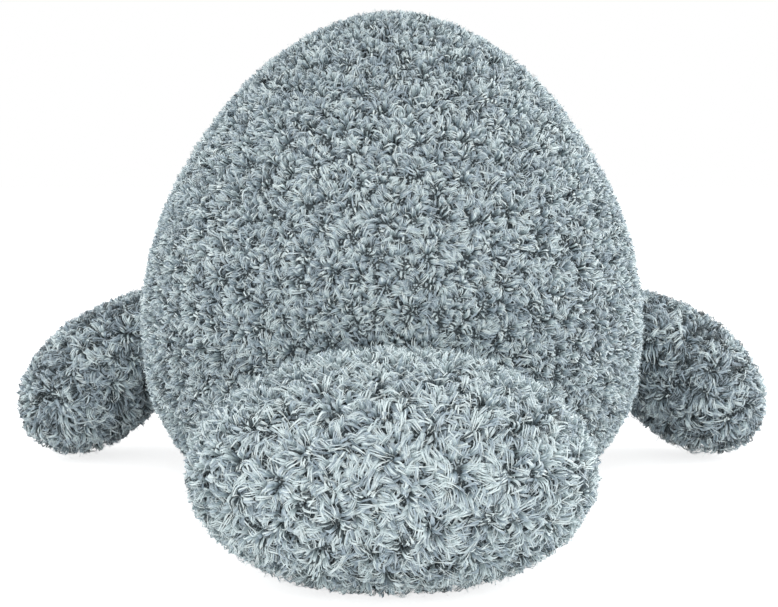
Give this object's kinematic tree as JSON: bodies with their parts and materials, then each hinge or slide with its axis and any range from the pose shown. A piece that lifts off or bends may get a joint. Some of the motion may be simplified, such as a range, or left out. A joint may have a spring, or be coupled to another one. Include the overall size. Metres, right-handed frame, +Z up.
{
  "type": "plush manatee",
  "caption": "Stuffed manatee of curly blue-grey plush with a domed back, a broad paddle tail and side flippers that lift at their sewn roots, lying on its belly.",
  "frame": {"origin": "on the floor, on the flat under the belly, straight below the top of the back", "axes": "+Z up, +Y towards the head, +X to the toy's right"},
  "size_m": [0.358, 0.4209, 0.2068],
  "materials": {
    "plush": "curly pile with frosted tips",
    "filling": "loose fibre",
    "seam_thread": "spun thread",
    "embroidery": "satin stitch",
    "eye": "glossy black",
    "washer": "matte white"
  },
  "bodies": {
    "torso": {"torso_left_panel": "plush", "torso_right_panel": "plush", "belly_panel": "plush", "torso_stuffing": "filling", "back_seam_thread": "seam_thread", "side_seam_thread": "seam_thread", "head_left_panel": "plush", "head_right_panel": "plush", "head_stuffing": "filling", "head_seam_thread": "seam_thread", "eye_left": "eye", "eye_right": "eye", "eye_washer_left": "washer", "eye_washer_right": "washer", "muzzle_panel": "plush", "muzzle_stuffing": "filling", "nostril_left": "embroidery", "nostril_right": "embroidery", "mouth_stitch": "embroidery"},
    "tail": {"tail_upper_panel": "plush", "tail_under_panel": "plush", "tail_stuffing": "filling", "tail_seam_thread": "seam_thread"},
    "flipper_left": {"flipper_left_upper_panel": "plush", "flipper_left_under_panel": "plush", "flipper_left_stuffing": "filling", "flipper_left_seam_thread": "seam_thread"},
    "flipper_right": {"flipper_right_upper_panel": "plush", "flipper_right_under_panel": "plush", "flipper_right_stuffing": "filling", "flipper_right_seam_thread": "seam_thread"}
  },
  "joints": [
    {"name": "tail_root", "type": "hinge", "parent": "torso", "child": "tail", "pos_m": [0, -0.11184, 0.043], "axis": [-1, 0, 0], "range_deg": [-10, 40], "stiffness_Nm_per_rad": 0.6},
    {"name": "flipper_left_root", "type": "hinge", "parent": "torso", "child": "flipper_left", "pos_m": [-0.10907, 0.05833, 0.073], "axis": [0.2807, 0.9598, 0], "range_deg": [-12, 60], "stiffness_Nm_per_rad": 0.2},
    {"name": "flipper_right_root", "type": "hinge", "parent": "torso", "child": "flipper_right", "pos_m": [0.10907, 0.05833, 0.073], "axis": [0.2807, -0.9598, 0], "range_deg": [-12, 60], "stiffness_Nm_per_rad": 0.2}
  ]
}
